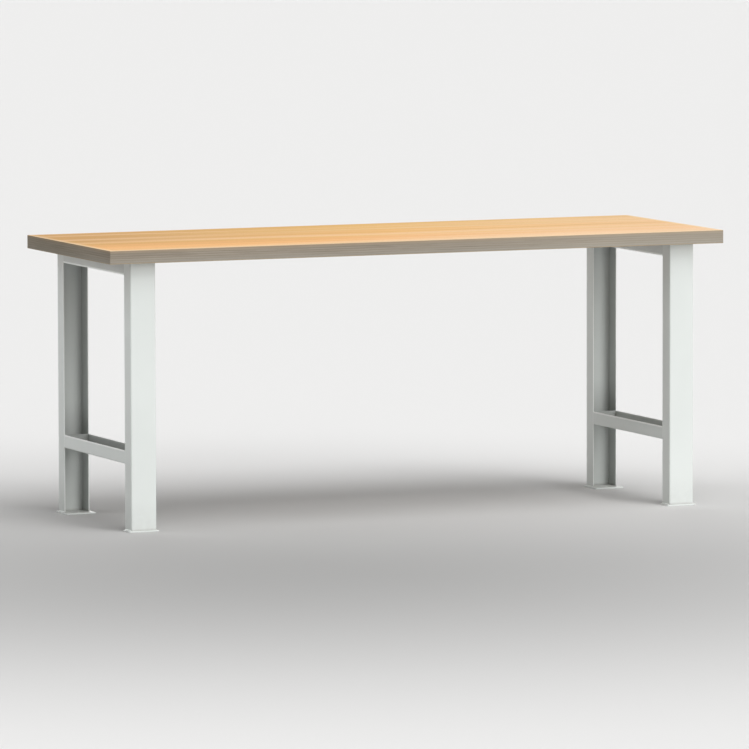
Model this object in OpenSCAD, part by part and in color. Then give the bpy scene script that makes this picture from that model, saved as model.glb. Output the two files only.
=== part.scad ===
// Workbench: a thick plywood worktop screwed to two welded side frames of
// folded steel sheet. The origin is on the floor at the centre of the bench,
// X runs along the length, Y from front to back and Z up.

/* [Bench] */
// Overall length, end to end of the worktop
bench_l = 2000; // [1400:10:3000]
// Overall depth, front edge to back edge of the worktop
bench_d = 700; // [500:10:1000]
// Height of the working surface above the floor
bench_h = 843; // [700:1:1100]

/* [Worktop] */
// Thickness of the whole worktop
top_t = 40; // [38:1:60]
// Thickness of the veneer on the top and on the underside
veneer_t = 2; // [1:0.5:4]
// Number of plies between the two veneers, an odd number
ply_count = 11; // [5:2:17]

/* [Side frames] */
// From the end of the worktop to the outer face of a side frame
end_overhang = 80; // [30:5:250]
// From the front or back edge of the worktop to the web of an upright
edge_setback = 43; // [10:1:100]
// Thickness of the folded sheet
sheet_t = 2.5; // [1.5:0.5:4]
// Inner radius of the folds
bend_r = 2; // [1:0.5:4]
// Width of an upright, across its web
upright_w = 80; // [60:1:120]
// Depth of an upright, from its web to the edges of its flanges
upright_d = 52; // [40:1:80]
// Height of the crossbar under the worktop
crossbar_h = 40; // [30:1:70]
// Height of the stretcher's section
stretcher_h = 40; // [30:1:70]
// Height of the stretcher's open top above the floor
stretcher_top = 240; // [150:5:400]
// Leg of the weld beads
weld_leg = 3; // [2:0.5:5]

/* [Foot plates] */
// Thickness of a foot plate
plate_t = 4; // [3:0.5:10]
// How far a foot plate stands out on each side of its upright
plate_side = 7.5; // [6:0.5:20]
// How far a foot plate stands out past the web of its upright
plate_heel = 2; // [0.5:0.5:10]
// How far a rear foot plate stands out to the front, past the flanges
plate_toe = 36; // [28:1:60]
// Corner radius of a foot plate
plate_r = 4; // [1:0.5:8]
// Diameter of the floor anchor hole in each foot plate
anchor_d = 11; // [6:0.5:16]

/* [Worktop screws] */
// Number of screws in each side frame
screw_count = 4; // [2:1:8]
// From the end of the crossbar to the first screw
screw_inset = 62; // [40:1:90]
// Diameter of a screw's shank
screw_d = 8; // [5:0.5:10]
// Length of a screw under its head
screw_l = 35; // [25:1:38]
// Length of the point at the end of a screw
screw_point = 6; // [3:0.5:10]
// Width across the flats of a screw's hexagon head
head_w = 13; // [11:0.5:17]
// Height of a screw's head
head_h = 5.5; // [4:0.5:8]
// Width of the chamfer round a screw's head
head_chamfer = 0.8; // [0.2:0.1:1.5]
// Outer diameter of a washer
washer_d = 24; // [20:0.5:30]
// Thickness of a washer
washer_t = 2; // [1:0.5:3]
// Free play of a screw in its washer, on the diameter
washer_play = 0.4; // [0.2:0.1:1]
// Free play of a screw in the crossbar, on the diameter
crossbar_play = 1; // [0.5:0.1:2]

/* [Hidden] */
$fn = 48;

// Sides of the bench along X, and ends of a side frame along Y
left = -1;
right = 1;
front = -1;
rear = 1;

// Worktop: its underside and the height of one inner ply
top_under = bench_h - top_t;
ply_t = (top_t - 2 * veneer_t) / ply_count;

// Side frames: the middle of a frame along X, the webs of its uprights along
// Y, and the edges of their flanges
frame_x = bench_l / 2 - end_overhang - upright_w / 2;
web_y = bench_d / 2 - edge_setback;
flange_y = web_y - upright_d;
outer_r = bend_r + sheet_t;
upright_l = top_under - plate_t;

// Crossbar and stretcher are as wide as the uprights and reach from the
// flange edges of one upright to those of the other
rail_w = upright_w;
rail_l = 2 * flange_y;
stretcher_under = stretcher_top - stretcher_h;

// Foot plates: a front one ends at the edges of the flanges and has its
// anchor hole inside the upright, a rear one has it in the middle of its toe
plate_w = upright_w + 2 * plate_side;
front_plate_d = plate_heel + upright_d;
rear_plate_d = front_plate_d + plate_toe;
front_anchor_y = web_y - (upright_d + sheet_t) / 2;
rear_anchor_y = flange_y - plate_toe / 2;

// Worktop screws: the seats of washer and head, and the places along Y
washer_seat = top_under - sheet_t;
head_seat = washer_seat - washer_t;
screw_span = rail_l - 2 * screw_inset;
screw_ys = [for (i = [0 : screw_count - 1]) -screw_span / 2 + i * screw_span / (screw_count - 1)];

// Flat shapes

module rounded_rect(w, d, r) {
    square([w - 2 * r, d], center = true);
    square([w, d - 2 * r], center = true);
    for (x = [-1, 1], y = [-1, 1])
        translate([x * (w / 2 - r), y * (d / 2 - r)]) circle(r = r);
}

// Outline of a folded U with its web on the X axis, rounded at the two folds
module fold_outline(w, d) {
    translate([0, d]) intersection() {
        rounded_rect(w, 2 * d, outer_r);
        translate([-w / 2, -d]) square([w, d]);
    }
}

// The hollow of that U, which runs out past its open side
module fold_hollow(w, d) {
    translate([0, d]) rounded_rect(w - 2 * sheet_t, 2 * (d - sheet_t), bend_r);
}

// U section with its web on the X axis and its flanges along +Y
module channel_profile(w, d) {
    difference() {
        fold_outline(w, d);
        fold_hollow(w, d);
    }
}

module weld_profile(x_leg, y_leg) {
    polygon([[0, 0], [x_leg, 0], [0, y_leg]]);
}

// Places

module on_side(side) {
    translate([side * frame_x, 0, 0]) children();
}

// The seat of each screw head in one side frame
module at_screws() {
    for (y = screw_ys) translate([0, y, head_seat]) children();
}

// Worktop

module worktop_layer(z, t) {
    translate([-bench_l / 2, -bench_d / 2, z]) cube([bench_l, bench_d, t]);
}

// A piece of the worktop with the holes that the screws fill
module drilled() {
    difference() {
        children();
        for (side = [left, right]) on_side(side) at_screws() screw_shank();
    }
}

// Every second inner ply, from the given one up
module plies(first) {
    for (i = [first : 2 : ply_count - 1]) worktop_layer(top_under + veneer_t + i * ply_t, ply_t);
}

module worktop_face_veneer() {
    color("burlywood") drilled() worktop_layer(bench_h - veneer_t, veneer_t);
}

module worktop_long_plies() {
    color("tan") drilled() plies(1);
}

module worktop_cross_plies() {
    color("rosybrown") drilled() plies(0);
}

module worktop_back_veneer() {
    color("burlywood") drilled() worktop_layer(top_under, veneer_t);
}

// Side frames, each piece drawn round the middle of its own frame

module upright(end) {
    color("gainsboro") scale([1, -end, 1])
        translate([0, -web_y, plate_t]) linear_extrude(height = upright_l)
            channel_profile(upright_w, upright_d);
}

// A folded U with a closed end at each upright, its open side along +Y
module rail(h) {
    difference() {
        linear_extrude(height = rail_l, center = true) fold_outline(rail_w, h);
        linear_extrude(height = rail_l - 2 * sheet_t, center = true) fold_hollow(rail_w, h);
    }
}

module crossbar() {
    color("lightgray") difference() {
        translate([0, 0, top_under]) rotate([-90, 0, 0]) rail(crossbar_h);
        at_screws() cylinder(d = screw_d + crossbar_play, h = screw_l);
    }
}

module stretcher() {
    color("lightgray") translate([0, 0, stretcher_under]) rotate([90, 0, 0]) rail(stretcher_h);
}

// A plate of the given depth, its anchor hole this far from the middle
module drilled_plate(end, d, anchor_y) {
    linear_extrude(height = plate_t) difference() {
        translate([0, end * (web_y + plate_heel - d / 2)]) rounded_rect(plate_w, d, plate_r);
        translate([0, end * anchor_y]) circle(d = anchor_d);
    }
}

module front_foot_plate() {
    color("silver") drilled_plate(front, front_plate_d, front_anchor_y);
}

module rear_foot_plate() {
    color("silver") drilled_plate(rear, rear_plate_d, rear_anchor_y);
}

// Beads inside the uprights, between the closed end of a rail and the
// flanges, from the given height up
module rail_welds(z, h) {
    for (end = [front, rear], s = [-1, 1])
        scale([s, -end, 1]) translate([rail_w / 2 - sheet_t, -flange_y, z])
            linear_extrude(height = h) weld_profile(-weld_leg, -weld_leg);
}

// Beads along the foot plates, outside the flanges
module plate_welds() {
    for (end = [front, rear], s = [-1, 1])
        scale([s, -end, 1]) translate([upright_w / 2, -flange_y, plate_t]) rotate([90, 0, 0])
            linear_extrude(height = upright_d - outer_r) weld_profile(weld_leg, weld_leg);
}

module frame_welds() {
    color("lightgray") {
        rail_welds(top_under - crossbar_h, crossbar_h - outer_r);
        rail_welds(stretcher_under + outer_r, stretcher_h - outer_r);
        plate_welds();
    }
}

// Worktop screws, drawn from the seat of the head

module screw_shank() {
    cylinder(d = screw_d, h = screw_l - screw_point);
    translate([0, 0, screw_l - screw_point]) cylinder(d1 = screw_d, d2 = 0, h = screw_point);
}

// Hexagon head under its seat, chamfered at the bottom
module screw_head() {
    head_r = head_w / 2 / cos(30);
    translate([0, 0, -head_h]) intersection() {
        cylinder(r = head_r, h = head_h, $fn = 6);
        union() {
            cylinder(r1 = head_w / 2 - head_chamfer, r2 = head_r, h = head_chamfer);
            translate([0, 0, head_chamfer]) cylinder(r = head_r, h = head_h - head_chamfer);
        }
    }
}

module worktop_screws() {
    color("slategray") at_screws() {
        screw_head();
        screw_shank();
    }
}

module screw_washers() {
    color("darkgray") at_screws() linear_extrude(height = washer_t) difference() {
        circle(d = washer_d);
        circle(d = screw_d + washer_play);
    }
}

worktop_face_veneer();
worktop_long_plies();
worktop_cross_plies();
worktop_back_veneer();
on_side(left) upright(front);  // left_front_upright
on_side(left) upright(rear);  // left_rear_upright
on_side(left) crossbar();  // left_crossbar
on_side(left) stretcher();  // left_stretcher
on_side(left) front_foot_plate();  // left_front_foot_plate
on_side(left) rear_foot_plate();  // left_rear_foot_plate
on_side(left) frame_welds();  // left_frame_welds
on_side(left) worktop_screws();  // left_worktop_screws
on_side(left) screw_washers();  // left_screw_washers
on_side(right) upright(front);  // right_front_upright
on_side(right) upright(rear);  // right_rear_upright
on_side(right) crossbar();  // right_crossbar
on_side(right) stretcher();  // right_stretcher
on_side(right) front_foot_plate();  // right_front_foot_plate
on_side(right) rear_foot_plate();  // right_rear_foot_plate
on_side(right) frame_welds();  // right_frame_welds
on_side(right) worktop_screws();  // right_worktop_screws
on_side(right) screw_washers();  // right_screw_washers
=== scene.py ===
import math
import random

import bmesh
import bpy
from mathutils import Matrix, Vector

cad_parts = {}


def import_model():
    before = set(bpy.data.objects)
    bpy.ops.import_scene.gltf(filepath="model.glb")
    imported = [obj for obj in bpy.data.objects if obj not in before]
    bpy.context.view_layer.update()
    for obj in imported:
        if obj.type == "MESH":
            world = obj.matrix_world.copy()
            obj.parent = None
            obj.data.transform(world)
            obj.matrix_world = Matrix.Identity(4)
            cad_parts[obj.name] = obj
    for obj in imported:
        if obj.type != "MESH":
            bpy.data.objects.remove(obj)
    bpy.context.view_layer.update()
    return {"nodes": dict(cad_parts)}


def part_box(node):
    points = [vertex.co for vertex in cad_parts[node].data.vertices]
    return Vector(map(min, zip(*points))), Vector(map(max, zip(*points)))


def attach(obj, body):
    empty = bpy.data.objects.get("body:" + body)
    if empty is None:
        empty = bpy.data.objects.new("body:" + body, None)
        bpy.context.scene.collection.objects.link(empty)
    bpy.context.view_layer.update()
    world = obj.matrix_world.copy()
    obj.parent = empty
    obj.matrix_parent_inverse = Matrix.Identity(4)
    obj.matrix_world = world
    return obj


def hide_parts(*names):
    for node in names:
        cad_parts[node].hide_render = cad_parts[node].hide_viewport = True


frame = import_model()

MM = 0.001
SIDES = ("left", "right")
ENDS = ("front", "rear")

# The photograph's camera, solved from the edges of the bench: its angles in
# degrees, its focal length and the frame's width in pixels, and where the
# middle of the bench lies in front of it, in metres
CAMERA_YAW = 22.913
CAMERA_PITCH = 5.314
CAMERA_ROLL = -0.145
FOCAL_PX = 7798.1
FRAME_PX = 749
AIM_RIGHT = 0.0065
AIM_DOWN = -0.0152
AIM_AHEAD = 23.725
AIM_HEIGHT = 0.425

# The width of its sensor in millimetres, and from where to where it sees, in metres
SENSOR_MM = 36.0
CLIP_NEAR = 0.5
CLIP_FAR = 400.0

# The thickness of the steel sheet, the outer radius of its folds, the depth of a
# rail's closed end and the legs of the weld beads, in metres
SHEET = 2.5 * MM
FOLD = 4.5 * MM
RAIL_CLOSURE = 4.0 * MM
WELD_LEG = 3.0 * MM

# Places read from the frame, in metres: the worktop with the three leaves of its veneer,
# a side frame's middle and how far from it the insides of its flanges are, how far from
# the middle of the bench the insides of the webs, the open edges of the uprights and the
# closed ends of the rails are, and the top of the foot plates
TOP_LO, TOP_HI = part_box("worktop_face_veneer")
UPRIGHT_LO, UPRIGHT_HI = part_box("right_front_upright")
STRETCHER_LO, STRETCHER_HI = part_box("right_stretcher")
CROSSBAR_LO, CROSSBAR_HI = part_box("right_crossbar")
BENCH_LENGTH = TOP_HI.x - TOP_LO.x
BENCH_DEPTH = TOP_HI.y - TOP_LO.y
LEAVES = 3
LEAF_WIDTH = BENCH_DEPTH / LEAVES
FRAME_X = (UPRIGHT_LO.x + UPRIGHT_HI.x) / 2
INNER_SIDE = (UPRIGHT_HI.x - UPRIGHT_LO.x) / 2 - SHEET
INNER_WEB = -UPRIGHT_LO.y - SHEET
LIP_Y = -UPRIGHT_HI.y
RAIL_END_Y = STRETCHER_HI.y - RAIL_CLOSURE
PLATE_TOP = UPRIGHT_LO.z

# How far edges are rounded, in metres
BOARD_CORNER = 1.5 * MM
BOARD_ARRIS = 1.1 * MM
PLY_EDGE = 0.12 * MM
SHEET_EDGE = 0.5 * MM
RAIL_EDGE = 1.1 * MM
PLATE_EDGE = 0.6 * MM
SCREW_EDGE = 0.3 * MM

# The steps of an arc on boards and beads and of an edge on CAD nodes, the bevel profile
# of a round arc, the angle from which an edge is sharp, and how near to each other two
# points are the same one, on boards and on CAD nodes, in metres
ARC_STEPS = 4
EDGE_STEPS = 2
ROUND = 0.5
SHARP_ANGLE = math.radians(40)
SAME_PLACE = 1e-7
MERGE_WITHIN = 0.01 * MM

# The weld beads: the length of a ripple and of a step of the mesh, the depth of the ripples
# and their wobble as shares of a leg, the shares that a bead keeps at its ends, over a
# short taper, and in the middle of its round face, and how far apart the two sides' seeds are
RIPPLE = 1.9 * MM
RING_STEP = 0.45 * MM
RIPPLE_DEPTH = 0.16
WOBBLE = 0.02
BEAD_END = 0.55
BEAD_TAPER = 1.5 * MM
BEAD_MIDDLE = 0.74
SIDE_SEEDS = 10

# How far each material's noises are moved, so that no two materials look the same
SEEDS = {
    "beech_face": 0.0,
    "beech_under": 4.3,
    "long_ply_edge": 1.7,
    "cross_ply_edge": 6.1,
    "coat_sections": 0.0,
    "coat_plates": 5.7,
    "coat_stretchers": 3.1,
    "coat_crossbars": 7.4,
    "coat_welds": 8.9,
}

# From here on, a noise is its scale, one for all axes or one each for X, Y and Z, its
# detail and its roughness. A span of two or four numbers turns a value into a share: the
# values at which the share begins and ends to change, and the share at each, which is 0
# and 1 if none is given.

# Beech: the grain's noises, how far the leaves are apart in them, how far the grain
# wanders sideways, the spans of its tones, its roughness and its relief
WANDER_NOISE = ((1.1, 3.0, 1.0), 2.0, 0.5)
BAND_NOISE = ((0.45, 13.0, 1.0), 3.0, 0.55)
LINE_NOISE = ((1.6, 150.0, 1.0), 5.0, 0.6)
FIBRE_NOISE = ((14.0, 900.0, 1.0), 3.0, 0.6)
FLECK_NOISE = ((190.0, 1500.0, 1.0), 1.0, 0.5)
LEAF_SHIFT_X = 3.7
LEAF_SHIFT_Y = 1.9
WANDER = 0.09
PALE_BANDS = (0.48, 0.70, 0.0, 0.5)
DEEP_BANDS = (0.46, 0.30, 0.0, 0.40)
DARK_LINES = (0.50, 0.74, 0.0, 0.42)
DARK_FIBRES = (0.52, 0.72, 0.0, 0.20)
DARK_FLECKS = (0.64, 0.72, 0.0, 0.45)
TO_LEFT = (0.1, -0.9)
TO_REAR = (-0.24, 0.02)
DEEP_REAR_LEFT = 0.95
# The next three spans paint a sheen that makes the top paler towards the right and the front edge
SHEEN_TO_RIGHT = (-0.3, 0.6, 0.0, 0.5)
SHEEN_TO_FRONT = (-0.25, -0.32, 0.0, 0.25)
SHEEN_SLANT = 0.35
LEAF_SEAM = (0.0005, 0.0016, 0.3, 0.0)
# This span paints a highlight along the worktop's edges
RIM_HIGHLIGHT = (0.024, 0.0, 0.0, 0.6)
TURNED_UPRIGHT = (0.1, 0.5)
BEECH_ROUGHNESS = (0.3, 0.7, 0.52, 0.64)
FLECK_RELIEF = -0.4
BEECH_BUMP = 0.25
BEECH_RELIEF = 0.1 * MM

# Ply edges: the scales along and across a ply's grain with that noise's detail and
# roughness, the other noises, when a face counts as cut across the grain, and the spans
# of the tones, two of them over the height above the lowest ply; the last two are for
# the painted shade on the ends of the worktop
PLY_ALONG = 3.0
PLY_ACROSS = 700.0
PLY_NOISE = (4.0, 0.6)
STREAK_NOISE = ((7.0, 7.0, 190.0), 5.0, 0.65)
PATCH_NOISE = ((2.6, 2.6, 60.0), 2.0, 0.5)
TURNED_ALONG = (0.45, 0.75)
PLY_GRAIN = (0.35, 0.65)
PALE_STREAKS = (0.40, 0.62, 0.0, 0.7)
DARK_STREAKS = (0.44, 0.30, 0.0, 0.5)
DARK_PATCHES = (0.46, 0.68, 0.0, 0.45)
GREY_LOW_DOWN = (0.016, 0.0, 0.0, 0.4)
WARM_HIGH_UP = (0.027, 0.037, 0.0, 0.55)
PALE_EDGE_TO_RIGHT = (0.1, 0.6, 0.0, 0.21)
GLUE_LINE = (0.03, 0.09, 0.42, 0.0)
GLUE_BREAKS = (0.38, 0.6)
PLY_ROUGHNESS = (0.3, 0.7, 0.62, 0.78)
PLY_SPECULAR = 0.1
PLY_BUMP = 0.35
PLY_RELIEF = 0.15 * MM
TURNED_TO_END = (0.2, 0.6)
SHADE_TO_REAR = (-0.22, 0.10, 0.22, 1.0)

# Powder coat: its noises, the spans of its tones, its roughness, gloss and orange peel
CLOUD_NOISE = ((3.0, 3.0, 3.0), 3.0, 0.5)
SPECKLE_NOISE = (2400.0, 2.0, 0.5)
PEEL_NOISE = (520.0, 2.0, 0.45)
RUB_NOISE = ((26.0, 26.0, 7.0), 4.0, 0.65)
CLOUDS = (0.35, 0.65)
SPECKLES = (0.45, 0.75, 0.0, 0.35)
COAT_ROUGHNESS = (0.35, 0.68, 0.36, 0.50)
COAT_SPECULAR = 0.45
PEEL_BUMP = 0.18
PEEL_RELIEF = 0.12 * MM

# How much painted shade the coat gets, from 0 to 1, inside the uprights, in their corners and just
# above the stretchers, how far that reaches from the corners and the stretchers, in metres, and
# what a distance from a web counts for beside one from a flange
PAINTED_SHADE_INSIDE = 0.14
PAINTED_SHADE_CORNER = 0.47
PAINTED_SHADE_SHELF = 0.24
CORNER_REACH = 0.02
SHELF_REACH = 0.095
WEB_REACH_SHARE = 0.25

# The same painted shade inside the rails, at their open edges, from a share of their depth on and at
# their closed ends, the factors for the left and the right side frame, what share of a
# rail's web counts as its outside, and the slack at the inside faces, in metres
RAIL_PAINTED_SHADE = 0.36
RAIL_PAINTED_SHADE_DEEP = 0.64
RAIL_DEEP_AT = 0.5
RAIL_PAINTED_SHADE_END = 0.68
RAIL_PAINTED_SHADE_LEFT = 1.12
RAIL_PAINTED_SHADE_RIGHT = 0.78
WEB_OUTSIDE = 0.8
SKIN = 0.1 * MM

# A painted highlight along the open edges of the rails and the uprights: how far in it
# ends, and up to where it is at its brightest, in metres
RIM_WIDTH = 5 * MM
RIM_FULL = 3 * MM
LIP_WIDTH = 2.5 * MM
LIP_FULL = 1 * MM

# Darker coat at the uprights' feet, and painted shade on the outside of their flanges under
# the worktop, on the crossbars' sides, and on the foot plates' upward faces
FOOT_NOISE = (60.0, 3.0, 0.5)
FOOT_LINE = 7 * MM
FOOT_LINE_SHARE = 0.45
FOOT_HAZE_Z = 0.09
FOOT_HAZE_SHARE = 0.3
OUT_OF_INSIDE = 1 * MM
SIDE_SHADE = (0.60, 0.80, 0.0, 0.40)
CROSSBAR_SHADE_NOISE = ((9.0, 9.0, 40.0), 4.0, 0.5)
CROSSBAR_SHADE_PATCHES = (0.3, 0.7, 0.75, 1.0)
CROSSBAR_SHADE_LOW = 0.42
CROSSBAR_SHADE_HIGH = 0.92
CROSSBAR_SHADE_FROM = 3.5 * MM
CROSSBAR_SHADE_FULL = 6.5 * MM
UPWARD_SHADE_NOISE = (45.0, 4.0, 0.5)
UPWARD_SHADE_PATCHES = (0.3, 0.7, 0.8, 1.0)
TURNED_UP = (0.6, 0.9, 0.0, 0.75)

# Zinc plating
SPANGLE_NOISE = (420.0, 4.0, 0.65)
SPANGLES = (0.35, 0.65)
ZINC_ROUGHNESS = (0.3, 0.7, 0.30, 0.46)
ZINC_BUMP = 0.15
ZINC_RELIEF = 0.05 * MM

# Colours, linear
LEAF_TONES = ((0.845, 0.485, 0.22), (0.82, 0.49, 0.20), (0.785, 0.49, 0.19))
BEECH_PALE = (0.89, 0.655, 0.45)
BEECH_DEEP = (0.60, 0.36, 0.165)
BEECH_HIGHLIGHT = (0.90, 0.72, 0.50)
UNDER_TONES = ((0.445, 0.385, 0.315), (0.43, 0.37, 0.30), (0.455, 0.395, 0.32))
UNDER_PALE = (0.50, 0.445, 0.375)
UNDER_DEEP = (0.40, 0.345, 0.275)
UNDER_HIGHLIGHT = (0.48, 0.425, 0.355)
BEECH_DARK = (0.56, 0.31, 0.115)
BEECH_FLECK = (0.36, 0.18, 0.07)
VENEER_RIM = (0.43, 0.34, 0.23)
SIDE_GRAIN_LIGHT = (0.385, 0.34, 0.285)
SIDE_GRAIN_DARK = (0.27, 0.23, 0.19)
END_GRAIN_LIGHT = (0.35, 0.305, 0.24)
END_GRAIN_DARK = (0.225, 0.19, 0.145)
EDGE_GREY = (0.385, 0.375, 0.335)
EDGE_WARM = (0.42, 0.315, 0.20)
EDGE_PALE = (0.52, 0.475, 0.40)
END_SHADE = (0.73, 0.72, 0.68)
GLUE = (0.16, 0.13, 0.09)
COAT = (0.795, 0.83, 0.806)
COAT_SHADE = (0.75, 0.785, 0.761)
COAT_PAINTED_SHADE = (0.22, 0.225, 0.215)
COAT_HIGHLIGHT = (0.95, 0.97, 0.95)
COAT_DARKER = (0.40, 0.395, 0.375)
ZINC_LIGHT = (0.72, 0.73, 0.74)
ZINC_DARK = (0.50, 0.51, 0.53)
FLOOR_NEAR = (0.40, 0.398, 0.394)
FLOOR_FAR = (0.785, 0.782, 0.777)

# The floor: its darkest point, around which painted shade darkens it, how far from there it stops
# getting paler, its radius and how far it lies below the foot plates, in metres, and its sides and its
# roughness
DARKEST_FLOOR = (-0.9, -1.3, 0.0)
FLOOR_FADE = 4.1
FLOOR_RADIUS = 160.0
FLOOR_SIDES = 96
FLOOR_DROP = 0.02 * MM
FLOOR_ROUGHNESS = 0.8

# How bright the world is as a light, and where it is seen or mirrored
WORLD_LIGHT = 0.04
WORLD_SEEN = 0.9

# Each lamp's name, its turn from the front towards the right and its height above
# the floor in degrees, its strength, and how wide it is in degrees
LAMPS = (
    ("key", 12, 64, 2.18, 52),
    ("front_fill", 12, 30, 0.86, 44),
    ("low_front", 14, 14, 0.52, 34),
    ("left_fill", -98, 35, 0.69, 52),
    ("right_fill", 95, 25, 0.42, 34),
    ("back_fill", 175, 15, 0.88, 40),
)


# Shader helpers

def new_material(name):
    material = bpy.data.materials.new(name)
    material.use_nodes = True
    tree = material.node_tree
    shader = tree.nodes["Principled BSDF"]
    return material, tree, shader


def add(tree, kind, inputs=None, **settings):
    """Adds one shader node; inputs maps a socket's name or number to a value or to another socket."""
    made = tree.nodes.new(kind)
    for key, value in settings.items():
        setattr(made, key, value)
    for key, value in (inputs or {}).items():
        socket = made.inputs[key]
        if isinstance(value, bpy.types.NodeSocket):
            tree.links.new(value, socket)
        else:
            socket.default_value = value
    return made


def object_point(tree):
    return add(tree, "ShaderNodeTexCoord").outputs["Object"]


def xyz(tree, vector):
    return add(tree, "ShaderNodeSeparateXYZ", {0: vector}).outputs


def facing_xyz(tree):
    """The three components of the direction that a face looks in."""
    return xyz(tree, add(tree, "ShaderNodeNewGeometry").outputs["True Normal"])


def moved(tree, point, along_x, along_y):
    step = add(tree, "ShaderNodeCombineXYZ", {0: along_x, 1: along_y}).outputs[0]
    return add(tree, "ShaderNodeVectorMath", {0: point, 1: step}, operation="ADD").outputs[0]


def noise(tree, point, scale, detail, roughness):
    inputs = {"Vector": point, "Scale": scale, "Detail": detail, "Roughness": roughness}
    return add(tree, "ShaderNodeTexNoise", inputs).outputs["Fac"]


def stretched(tree, point, scales, detail, roughness, offset):
    """A noise with a scale for each axis, whose point is moved by offset after it is scaled."""
    place = add(tree, "ShaderNodeMapping", {"Vector": point, "Location": offset, "Scale": scales})
    return noise(tree, place.outputs["Vector"], 1.0, detail, roughness)


def calc(tree, operation, a, b=0.0, clamp=False):
    made = add(tree, "ShaderNodeMath", {0: a, 1: b}, operation=operation, use_clamp=clamp)
    return made.outputs["Value"]


def times(tree, a, b):
    return calc(tree, "MULTIPLY", a, b)


def absolute(tree, value):
    return calc(tree, "ABSOLUTE", value)


def off_whole(tree, value):
    """How far a value is from the nearest whole number."""
    return calc(tree, "PINGPONG", value, 0.5)


def remap(tree, value, low, high, to_low=0.0, to_high=1.0):
    inputs = {"Value": value, "From Min": low, "From Max": high, "To Min": to_low, "To Max": to_high}
    return add(tree, "ShaderNodeMapRange", inputs).outputs["Result"]


def blend(tree, share, a, b, how="MIX"):
    made = add(tree, "ShaderNodeMix", data_type="RGBA", blend_type=how)
    for number, value in ((0, share), (6, a), (7, b)):
        if isinstance(value, bpy.types.NodeSocket):
            tree.links.new(value, made.inputs[number])
        elif number == 0:
            made.inputs[number].default_value = value
        else:
            made.inputs[number].default_value = (*value, 1.0)
    return made.outputs[2]


def tinted(tree, tone, tints):
    """Lays one colour after another over a tone, each by the share that its span makes of its value."""
    for value, span, colour in tints:
        tone = blend(tree, remap(tree, value, *span), tone, colour)
    return tone


def bump(tree, shader, height, strength, distance):
    made = add(tree, "ShaderNodeBump", {"Height": height, "Strength": strength, "Distance": distance})
    tree.links.new(made.outputs["Normal"], shader.inputs["Normal"])


# Wood

def towards_end(tree, point):
    """Painted shade: rises from 0 to 1 as a face turns towards an end of the bench, but less near the front
    corners.
    """
    turned = remap(tree, absolute(tree, facing_xyz(tree)["X"]), *TURNED_TO_END)
    return times(tree, turned, remap(tree, xyz(tree, point)["Y"], *SHADE_TO_REAR))


def upright_share(tree):
    """Rises from 0 to 1 as a face turns from level to upright."""
    steep = absolute(tree, facing_xyz(tree)["Z"])
    return remap(tree, calc(tree, "SUBTRACT", 1.0, steep), *TURNED_UPRIGHT)


def off_rim(tree, point):
    """How far a point is from the nearest edge of the worktop."""
    x, y, _ = xyz(tree, point)
    to_end = calc(tree, "SUBTRACT", BENCH_LENGTH / 2, absolute(tree, x))
    to_side = calc(tree, "SUBTRACT", BENCH_DEPTH / 2, absolute(tree, y))
    return calc(tree, "MINIMUM", to_end, to_side)


def beech_grain(tree, point, leaf, seed):
    """Noises that run with the grain, from broad bands to short flecks, other ones in each leaf."""
    number = calc(tree, "FLOOR", leaf)
    own = moved(tree, point, times(tree, number, LEAF_SHIFT_X), times(tree, number, LEAF_SHIFT_Y))
    wander = stretched(tree, own, *WANDER_NOISE, (seed, 0, 0))
    bent = moved(tree, own, 0.0, times(tree, wander, WANDER))
    bands = stretched(tree, bent, *BAND_NOISE, (seed, 0, 0))
    lines = stretched(tree, bent, *LINE_NOISE, (0, seed, 0))
    fibres = stretched(tree, bent, *FIBRE_NOISE, (0, seed, 0))
    flecks = stretched(tree, bent, *FLECK_NOISE, (seed, seed, 0))
    return bands, lines, fibres, flecks


def beech_tone(tree, point, leaf, tones, pale, deep):
    """Each leaf's own tone, deeper towards the rear left, and a painted sheen that makes it paler towards
    the right and the front edge.
    """
    x, y, _ = xyz(tree, point)
    tone = tones[0]
    for number in range(1, LEAVES):
        tone = blend(tree, calc(tree, "GREATER_THAN", leaf, number), tone, tones[number])
    to_rear = remap(tree, y, *TO_REAR)
    rear_left = times(tree, remap(tree, x, *TO_LEFT), to_rear)
    tone = blend(tree, times(tree, rear_left, DEEP_REAR_LEFT), tone, deep)
    slanted = calc(tree, "SUBTRACT", x, times(tree, to_rear, SHEEN_SLANT))
    sheen = calc(tree, "ADD", remap(tree, slanted, *SHEEN_TO_RIGHT), remap(tree, y, *SHEEN_TO_FRONT))
    return blend(tree, sheen, tone, pale)


def beech_face(name, tones, pale, deep, highlight_tone):
    """Beech veneer in three leaves side by side, its grain along X, with a painted highlight along its
    edges.
    """
    material, tree, shader = new_material(name)
    point = object_point(tree)
    from_front = calc(tree, "ADD", xyz(tree, point)["Y"], BENCH_DEPTH / 2)
    leaf = calc(tree, "DIVIDE", from_front, LEAF_WIDTH)
    bands, lines, fibres, flecks = beech_grain(tree, point, leaf, SEEDS[name])
    tone = tinted(tree, beech_tone(tree, point, leaf, tones, pale, deep), (
        (bands, PALE_BANDS, pale),
        (bands, DEEP_BANDS, deep),
        (lines, DARK_LINES, BEECH_DARK),
        (fibres, DARK_FIBRES, BEECH_DARK),
        (flecks, DARK_FLECKS, BEECH_FLECK),
        (off_whole(tree, leaf), LEAF_SEAM, BEECH_FLECK),
        (off_rim(tree, point), RIM_HIGHLIGHT, highlight_tone),
    ))
    tone = blend(tree, upright_share(tree), tone, VENEER_RIM)
    tone = blend(tree, towards_end(tree, point), tone, END_SHADE, "MULTIPLY")
    tree.links.new(tone, shader.inputs["Base Color"])
    tree.links.new(remap(tree, fibres, *BEECH_ROUGHNESS), shader.inputs["Roughness"])
    shader.inputs["Specular IOR Level"].default_value = 0.0
    relief = calc(tree, "ADD", fibres, times(tree, flecks, FLECK_RELIEF))
    bump(tree, shader, relief, BEECH_BUMP, BEECH_RELIEF)
    return material


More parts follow.
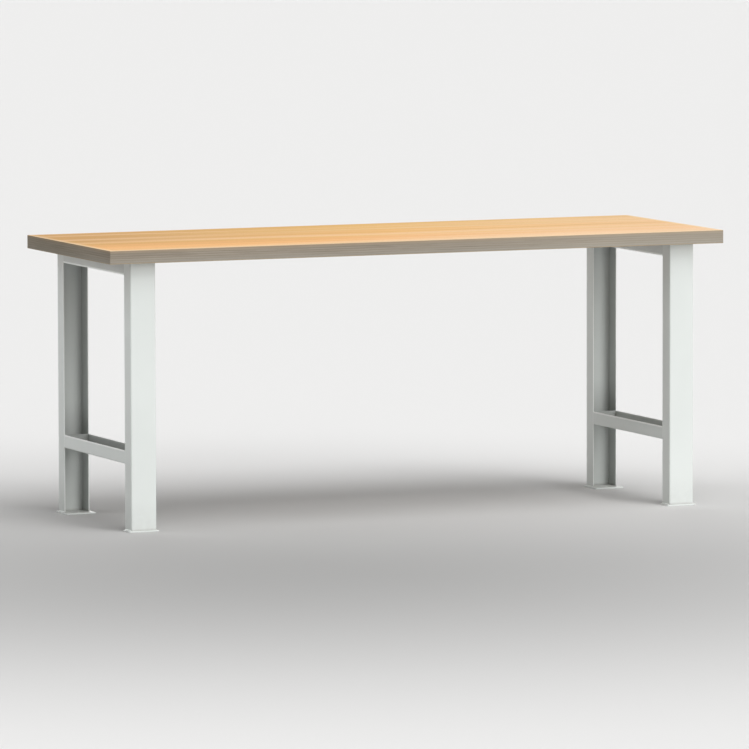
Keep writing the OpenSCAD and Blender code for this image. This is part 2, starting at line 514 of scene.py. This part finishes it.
def ply_edge(name, along, low, pitch):
    """Cut edge of plies whose grain runs along X or Y, with a dark glue line every pitch from low up."""
    material, tree, shader = new_material(name)
    seed = SEEDS[name]
    point = object_point(tree)
    x, _, z = xyz(tree, point)
    end_grain = remap(tree, absolute(tree, facing_xyz(tree)[along]), *TURNED_ALONG)
    scales = [PLY_ALONG if axis == along else PLY_ACROSS for axis in "XYZ"]
    grain = stretched(tree, point, scales, *PLY_NOISE, (seed, seed, 0))
    streaks = stretched(tree, point, *STREAK_NOISE, (seed, 0, 0))
    patches = stretched(tree, point, *PATCH_NOISE, (0, seed, 0))
    light = blend(tree, end_grain, SIDE_GRAIN_LIGHT, END_GRAIN_LIGHT)
    dark = blend(tree, end_grain, SIDE_GRAIN_DARK, END_GRAIN_DARK)
    from_low = calc(tree, "SUBTRACT", z, low)
    tone = tinted(tree, blend(tree, remap(tree, grain, *PLY_GRAIN), dark, light), (
        (streaks, PALE_STREAKS, light),
        (streaks, DARK_STREAKS, END_GRAIN_DARK),
        (patches, DARK_PATCHES, dark),
        (from_low, GREY_LOW_DOWN, EDGE_GREY),
        (from_low, WARM_HIGH_UP, EDGE_WARM),
        (x, PALE_EDGE_TO_RIGHT, EDGE_PALE),
    ))
    off_line = off_whole(tree, calc(tree, "DIVIDE", from_low, pitch))
    line = times(tree, remap(tree, off_line, *GLUE_LINE), remap(tree, streaks, *GLUE_BREAKS))
    tone = blend(tree, line, tone, GLUE)
    tone = blend(tree, towards_end(tree, point), tone, END_SHADE, "MULTIPLY")
    tree.links.new(tone, shader.inputs["Base Color"])
    tree.links.new(remap(tree, grain, *PLY_ROUGHNESS), shader.inputs["Roughness"])
    shader.inputs["Specular IOR Level"].default_value = PLY_SPECULAR
    bump(tree, shader, calc(tree, "SUBTRACT", grain, line), PLY_BUMP, PLY_RELIEF)
    return material


# Coated and plated steel

def off_middle(tree, x):
    """How far a point is to the left or right of the middle of its side frame."""
    return absolute(tree, calc(tree, "SUBTRACT", absolute(tree, x), FRAME_X))


def upright_inside_shade(tree, point):
    """Painted shade inside the uprights: darkest in the corners and just above the stretchers."""
    x, y, z = xyz(tree, point)
    across = off_middle(tree, x)
    back = absolute(tree, y)
    inside = times(tree, calc(tree, "LESS_THAN", across, INNER_SIDE + SKIN),
                   calc(tree, "LESS_THAN", back, INNER_WEB + SKIN))
    off_side = calc(tree, "SUBTRACT", INNER_SIDE, across)
    off_web = times(tree, calc(tree, "SUBTRACT", INNER_WEB, back), WEB_REACH_SHARE)
    off_corner = calc(tree, "MAXIMUM", off_side, off_web)
    near = calc(tree, "EXPONENT", calc(tree, "DIVIDE", off_corner, -CORNER_REACH))
    in_corner = remap(tree, near, 0.0, 1.0, PAINTED_SHADE_INSIDE, PAINTED_SHADE_CORNER)
    shelf_z = STRETCHER_HI.z
    above = calc(tree, "GREATER_THAN", z, (STRETCHER_LO.z + shelf_z) / 2)
    on_shelf = times(tree, above, remap(tree, z, shelf_z + SHELF_REACH, shelf_z, 0.0, PAINTED_SHADE_SHELF))
    return times(tree, inside, calc(tree, "ADD", in_corner, on_shelf))


def rail_inside_shade(open_z, web_z):
    """The same painted shade for a rail whose sides reach from the web at web_z to the open edges at
    open_z.
    """
    def painted_shade(tree, point):
        x, y, z = xyz(tree, point)
        inside = calc(tree, "LESS_THAN", off_middle(tree, x), INNER_SIDE + SKIN)
        depth = remap(tree, z, open_z, web_z)
        off_web = calc(tree, "LESS_THAN", depth, 1.0 - WEB_OUTSIDE * SHEET / abs(open_z - web_z))
        share = times(tree, remap(tree, depth, 0.0, RAIL_DEEP_AT, RAIL_PAINTED_SHADE, RAIL_PAINTED_SHADE_DEEP),
                      remap(tree, x, -FRAME_X, FRAME_X, RAIL_PAINTED_SHADE_LEFT, RAIL_PAINTED_SHADE_RIGHT))
        at_end = calc(tree, "GREATER_THAN", absolute(tree, y), RAIL_END_Y)
        share = calc(tree, "MAXIMUM", share, times(tree, at_end, RAIL_PAINTED_SHADE_END))
        return times(tree, times(tree, inside, off_web), share)
    return painted_shade


def rail_rim_highlight(open_z, web_z):
    """How much paler the coat is painted along a rail's open edges, as a highlight."""
    inward = 1.0 if web_z > open_z else -1.0

    def rim(tree, point):
        _, y, z = xyz(tree, point)
        off_end = calc(tree, "LESS_THAN", absolute(tree, y), RAIL_END_Y)
        return times(tree, off_end, remap(tree, z, open_z + inward * RIM_WIDTH, open_z + inward * RIM_FULL))
    return rim


def lip_highlight(tree, point):
    """The same painted highlight along the uprights' open edges."""
    back = absolute(tree, xyz(tree, point)["Y"])
    return remap(tree, back, LIP_Y + LIP_WIDTH, LIP_Y + LIP_FULL)


def section_darkening(tree, point):
    """Darker where the uprights stand on their plates, and painted shade on their sides under the worktop.
    """
    x, _, z = xyz(tree, point)
    line = remap(tree, z, PLATE_TOP + FOOT_LINE, PLATE_TOP, 0.0, FOOT_LINE_SHARE)
    haze = times(tree, remap(tree, z, FOOT_HAZE_Z, PLATE_TOP, 0.0, FOOT_HAZE_SHARE),
                 noise(tree, point, *FOOT_NOISE))
    outside = calc(tree, "GREATER_THAN", off_middle(tree, x), INNER_SIDE + OUT_OF_INSIDE)
    side_shade = times(tree, outside, remap(tree, z, *SIDE_SHADE))
    return calc(tree, "ADD", calc(tree, "ADD", line, haze), side_shade, clamp=True)


def crossbar_painted_shade(tree, point):
    """Painted shade on the crossbars' sides, more of it up towards the worktop and none on the lower rims.
    """
    low_z, high_z = CROSSBAR_LO.z, CROSSBAR_HI.z
    z = xyz(tree, point)["Z"]
    patches = stretched(tree, point, *CROSSBAR_SHADE_NOISE, (0, 0, 0))
    above_rim = remap(tree, z, low_z + CROSSBAR_SHADE_FROM, low_z + CROSSBAR_SHADE_FULL)
    share = times(tree, remap(tree, z, low_z, high_z, CROSSBAR_SHADE_LOW, CROSSBAR_SHADE_HIGH), above_rim)
    return times(tree, share, remap(tree, patches, *CROSSBAR_SHADE_PATCHES))


def upward_shade(tree, point):
    """Painted shade on faces that look up, in faint patches."""
    patches = noise(tree, point, *UPWARD_SHADE_NOISE)
    return times(tree, remap(tree, facing_xyz(tree)["Z"], *TURNED_UP),
                 remap(tree, patches, *UPWARD_SHADE_PATCHES))


def powder_coat(name, painted_shade=None, rim=None, darkening=None):
    """Satin powder coat with orange peel; the last three say where it is darkened by painted shade,
    lightened by a painted highlight, or darkened further by painted shade and at the uprights' feet.
    """
    material, tree, shader = new_material(name)
    seed = SEEDS[name]
    point = object_point(tree)
    clouds = stretched(tree, point, *CLOUD_NOISE, (seed, 0, 0))
    speckle = noise(tree, point, *SPECKLE_NOISE)
    peel = noise(tree, point, *PEEL_NOISE)
    rubs = stretched(tree, point, *RUB_NOISE, (0, seed, 0))
    tone = blend(tree, remap(tree, clouds, *CLOUDS), COAT_SHADE, COAT)
    tone = blend(tree, remap(tree, speckle, *SPECKLES), tone, COAT_SHADE)
    for where, colour in ((rim, COAT_HIGHLIGHT), (painted_shade, COAT_PAINTED_SHADE), (darkening, COAT_DARKER)):
        if where:
            tone = blend(tree, where(tree, point), tone, colour)
    tree.links.new(tone, shader.inputs["Base Color"])
    tree.links.new(remap(tree, rubs, *COAT_ROUGHNESS), shader.inputs["Roughness"])
    shader.inputs["Specular IOR Level"].default_value = COAT_SPECULAR
    bump(tree, shader, peel, PEEL_BUMP, PEEL_RELIEF)
    return material


def zinc(name):
    """Dull zinc plating on small steel parts."""
    material, tree, shader = new_material(name)
    spangle = noise(tree, object_point(tree), *SPANGLE_NOISE)
    tone = blend(tree, remap(tree, spangle, *SPANGLES), ZINC_DARK, ZINC_LIGHT)
    tree.links.new(tone, shader.inputs["Base Color"])
    tree.links.new(remap(tree, spangle, *ZINC_ROUGHNESS), shader.inputs["Roughness"])
    shader.inputs["Metallic"].default_value = 1.0
    bump(tree, shader, spangle, ZINC_BUMP, ZINC_RELIEF)
    return material


# Meshes

def mesh_object(name, mesh):
    piece = bpy.data.objects.new(name, mesh)
    bpy.context.scene.collection.objects.link(piece)
    return piece


def finish_mesh(name, bm, material):
    bmesh.ops.recalc_face_normals(bm, faces=bm.faces)
    mesh = bpy.data.meshes.new(name)
    bm.to_mesh(mesh)
    bm.free()
    mesh.materials.append(material)
    return mesh_object(name, mesh)


def upright_edges(bm):
    return [e for e in bm.edges
            if all(abs(e.verts[0].co[i] - e.verts[1].co[i]) < SAME_PLACE for i in (0, 1))]


def board(bm, lo, hi, arris_below, arris_above):
    """Adds a board to bm: rounded upright corners, and its own rounding along the lower and upper edges."""
    part = bmesh.new()
    bmesh.ops.create_cube(part, size=1.0)
    size = hi - lo
    for v in part.verts:
        v.co = Vector(lo[i] + (v.co[i] + 0.5) * size[i] for i in range(3))
    bmesh.ops.bevel(part, geom=upright_edges(part), offset=BOARD_CORNER, segments=ARC_STEPS,
                    profile=ROUND, affect="EDGES")
    for z, radius in ((lo.z, arris_below), (hi.z, arris_above)):
        rim = [e for e in part.edges if all(abs(v.co.z - z) < SAME_PLACE for v in e.verts)]
        bmesh.ops.bevel(part, geom=rim, offset=radius, segments=ARC_STEPS, profile=ROUND, affect="EDGES")
    mesh = bpy.data.meshes.new("board")
    part.to_mesh(mesh)
    part.free()
    bm.from_mesh(mesh)
    bpy.data.meshes.remove(mesh)


def dressed_board(name, node, material, layers):
    """One piece for a worktop node, from a list of (bottom, top, lower rounding, upper rounding)."""
    lo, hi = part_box(node)
    bm = bmesh.new()
    for bottom, top, below, above in layers:
        board(bm, Vector((lo.x, lo.y, bottom)), Vector((hi.x, hi.y, top)), below, above)
    piece = finish_mesh(name, bm, material)
    for polygon in piece.data.polygons:
        polygon.use_smooth = True
    piece.data.set_sharp_from_angle(angle=SHARP_ANGLE)
    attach(piece, "root")
    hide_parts(node)


def worktop():
    back_lo, back_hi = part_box("worktop_back_veneer")
    long_lo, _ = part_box("worktop_long_plies")
    cross_lo, cross_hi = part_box("worktop_cross_plies")
    ply = long_lo.z - cross_lo.z
    count = round((cross_hi.z - cross_lo.z) / ply)
    bottoms = [cross_lo.z + i * ply for i in range(count)]
    beech = beech_face("beech_face", LEAF_TONES, BEECH_PALE, BEECH_DEEP, BEECH_HIGHLIGHT)
    beech_under = beech_face("beech_under", UNDER_TONES, UNDER_PALE, UNDER_DEEP, UNDER_HIGHLIGHT)
    long_edge = ply_edge("long_ply_edge", "X", cross_lo.z, ply)
    cross_edge = ply_edge("cross_ply_edge", "Y", cross_lo.z, ply)
    dressed_board("worktop_face", "worktop_face_veneer", beech,
                  [(TOP_LO.z, TOP_HI.z, PLY_EDGE, BOARD_ARRIS)])
    dressed_board("worktop_underside", "worktop_back_veneer", beech_under,
                  [(back_lo.z, back_hi.z, BOARD_ARRIS, PLY_EDGE)])
    dressed_board("worktop_plies_along", "worktop_long_plies", long_edge,
                  [(z, z + ply, PLY_EDGE, PLY_EDGE) for z in bottoms[1::2]])
    dressed_board("worktop_plies_across", "worktop_cross_plies", cross_edge,
                  [(z, z + ply, PLY_EDGE, PLY_EDGE) for z in bottoms[0::2]])


def dress(node, material, edge):
    """Gives a CAD node its material, and softens its edges with modifiers that leave its mesh as it is."""
    part = frame["nodes"][node]
    part.data.materials.clear()
    part.data.materials.append(material)
    weld = part.modifiers.new("weld", "WELD")
    weld.merge_threshold = MERGE_WITHIN
    bevel = part.modifiers.new("bevel", "BEVEL")
    bevel.width = edge
    bevel.segments = EDGE_STEPS
    bevel.use_clamp_overlap = False
    bevel.loop_slide = False
    bevel.limit_method = "ANGLE"
    bevel.angle_limit = SHARP_ANGLE
    normals = part.modifiers.new("normals", "WEIGHTED_NORMAL")
    normals.keep_sharp = False


def frames_of_steel():
    section = powder_coat("coat_sections", upright_inside_shade, lip_highlight, section_darkening)
    plate = powder_coat("coat_plates", darkening=upward_shade)
    heights = STRETCHER_HI.z, STRETCHER_LO.z
    stretcher = powder_coat("coat_stretchers", rail_inside_shade(*heights), rail_rim_highlight(*heights))
    heights = CROSSBAR_LO.z, CROSSBAR_HI.z
    crossbar = powder_coat("coat_crossbars", rail_inside_shade(*heights), rail_rim_highlight(*heights), crossbar_painted_shade)
    for side in SIDES:
        for end in ENDS:
            dress(f"{side}_{end}_upright", section, SHEET_EDGE)
            dress(f"{side}_{end}_foot_plate", plate, PLATE_EDGE)
        dress(f"{side}_crossbar", crossbar, RAIL_EDGE)
        dress(f"{side}_stretcher", stretcher, RAIL_EDGE)


def fastenings():
    plating = zinc("zinc_plating")
    for side in SIDES:
        dress(f"{side}_worktop_screws", plating, SCREW_EDGE)
        dress(f"{side}_screw_washers", plating, SCREW_EDGE)


def bead(bm, corner, along, length, leg_a, leg_b, seed):
    """Adds a rippled weld bead that runs from corner, its legs along the two given vectors."""
    rng = random.Random(seed)
    rings = max(2, round(length / RING_STEP))
    phase = rng.random() * math.tau
    previous = None
    for i in range(rings + 1):
        distance = length * i / rings
        wave = abs(math.sin(math.pi * distance / RIPPLE + phase))
        from_end = min(distance, length - distance)
        end_taper = min(1.0, BEAD_END + (1.0 - BEAD_END) * from_end / BEAD_TAPER)
        reach = (1.0 - RIPPLE_DEPTH * wave + rng.uniform(-WOBBLE, WOBBLE)) * end_taper
        base = corner + along * distance
        ring = [bm.verts.new(base)]
        for k in range(ARC_STEPS + 1):
            turn = math.pi / 2 * k / ARC_STEPS
            bulge = BEAD_MIDDLE + (1.0 - BEAD_MIDDLE) * abs(math.cos(2 * turn))
            ring.append(bm.verts.new(
                base + (leg_a * math.cos(turn) + leg_b * math.sin(turn)) * (reach * bulge)))
        if previous:
            for k in range(len(ring)):
                nxt = (k + 1) % len(ring)
                bm.faces.new((previous[k], previous[nxt], ring[nxt], ring[k]))
        else:
            bm.faces.new(ring)
        previous = ring
    bm.faces.new(list(reversed(previous)))


def rail_beads(bm, side, inside, outward, flange_y, inward, seed):
    """The beads at one end of the crossbar and the stretcher, inside one flange of an upright."""
    rails = ((f"{side}_crossbar", 0.0), (f"{side}_stretcher", FOLD))
    for number, (rail, above_fold) in enumerate(rails):
        lo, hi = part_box(rail)
        bead(bm, Vector((inside, flange_y, lo.z + above_fold)), Vector((0, 0, 1)), hi.z - lo.z - FOLD,
             Vector((-outward * WELD_LEG, 0, 0)), Vector((0, -inward * WELD_LEG, 0)), seed + number)


def welds():
    coat = powder_coat("coat_welds")
    for side in SIDES:
        bm = bmesh.new()
        seed = SIDE_SEEDS * SIDES.index(side) + 1
        for end in ENDS:
            lo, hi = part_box(f"{side}_{end}_upright")
            in_front = end == "front"
            inward, flange_y = (1.0, hi.y) if in_front else (-1.0, lo.y)
            start_y = lo.y + (FOLD if in_front else 0.0)
            for outward, x_side in ((-1.0, lo.x), (1.0, hi.x)):
                rail_beads(bm, side, x_side - outward * SHEET, outward, flange_y, inward, seed)
                bead(bm, Vector((x_side, start_y, lo.z)), Vector((0, 1, 0)), hi.y - lo.y - FOLD,
                     Vector((outward * WELD_LEG, 0, 0)), Vector((0, 0, WELD_LEG)), seed + 2)
                seed += 3
        piece = finish_mesh(f"{side}_weld_beads", bm, coat)
        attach(piece, "root")
        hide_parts(f"{side}_frame_welds")


# Surroundings

def floor():
    """A wide pale floor that keeps the bench's shadow, with painted shade that darkens it around a point in
    front of the bench and gets paler further away.
    """
    material, tree, shader = new_material("pale_floor")
    apart = {0: object_point(tree), 1: DARKEST_FLOOR}
    distance = add(tree, "ShaderNodeVectorMath", apart, operation="DISTANCE").outputs["Value"]
    far = add(tree, "ShaderNodeMapRange", {"Value": distance, "From Min": 0.0, "From Max": FLOOR_FADE},
              interpolation_type="SMOOTHSTEP").outputs["Result"]
    tree.links.new(blend(tree, far, FLOOR_NEAR, FLOOR_FAR), shader.inputs["Base Color"])
    shader.inputs["Roughness"].default_value = FLOOR_ROUGHNESS
    shader.inputs["Specular IOR Level"].default_value = 0.0
    bm = bmesh.new()
    bmesh.ops.create_circle(bm, cap_ends=True, segments=FLOOR_SIDES, radius=FLOOR_RADIUS)
    ground = finish_mesh("ground", bm, material)
    ground.location.z = -FLOOR_DROP


def world():
    """White where it is seen or mirrored, and next to no light of its own."""
    sky = bpy.data.worlds.new("studio")
    bpy.context.scene.world = sky
    sky.use_nodes = True
    tree = sky.node_tree
    background = tree.nodes["Background"]
    background.inputs["Color"].default_value = (1.0, 1.0, 1.0, 1.0)
    paths = add(tree, "ShaderNodeLightPath").outputs
    seen = calc(tree, "ADD", paths["Is Camera Ray"], paths["Is Glossy Ray"], clamp=True)
    seen = calc(tree, "ADD", seen, paths["Is Transmission Ray"], clamp=True)
    tree.links.new(remap(tree, seen, 0.0, 1.0, WORLD_LIGHT, WORLD_SEEN), background.inputs["Strength"])


def lights():
    """Soft distant lamps."""
    for name, turn, height, strength, spread in LAMPS:
        light = bpy.data.lights.new(name, "SUN")
        light.energy = strength
        light.angle = math.radians(spread)
        lamp = bpy.data.objects.new(name, light)
        bpy.context.scene.collection.objects.link(lamp)
        a, b = math.radians(turn), math.radians(height)
        towards = Vector((math.sin(a) * math.cos(b), -math.cos(a) * math.cos(b), math.sin(b)))
        lamp.rotation_euler = towards.to_track_quat("Z", "Y").to_euler()


def camera():
    yaw, pitch, roll = (math.radians(a) for a in (CAMERA_YAW, CAMERA_PITCH, CAMERA_ROLL))
    ahead = Vector((math.sin(yaw) * math.cos(pitch), math.cos(yaw) * math.cos(pitch), -math.sin(pitch)))
    level = Vector((math.cos(yaw), -math.sin(yaw), 0.0))
    steep = level.cross(ahead)
    right = level * math.cos(roll) + steep * math.sin(roll)
    up = steep * math.cos(roll) - level * math.sin(roll)
    place = Vector((0, 0, AIM_HEIGHT)) - right * AIM_RIGHT + up * AIM_DOWN - ahead * AIM_AHEAD
    turn = Matrix((right, up, -ahead)).transposed().to_4x4()
    data = bpy.data.cameras.new("camera")
    data.sensor_width = SENSOR_MM
    data.lens = FOCAL_PX / FRAME_PX * SENSOR_MM
    data.clip_start = CLIP_NEAR
    data.clip_end = CLIP_FAR
    viewer = bpy.data.objects.new("camera", data)
    bpy.context.scene.collection.objects.link(viewer)
    viewer.matrix_world = Matrix.Translation(place) @ turn
    bpy.context.scene.camera = viewer


bpy.context.scene.view_settings.view_transform = "Standard"
camera()
world()
lights()
floor()
worktop()
frames_of_steel()
fastenings()
welds()
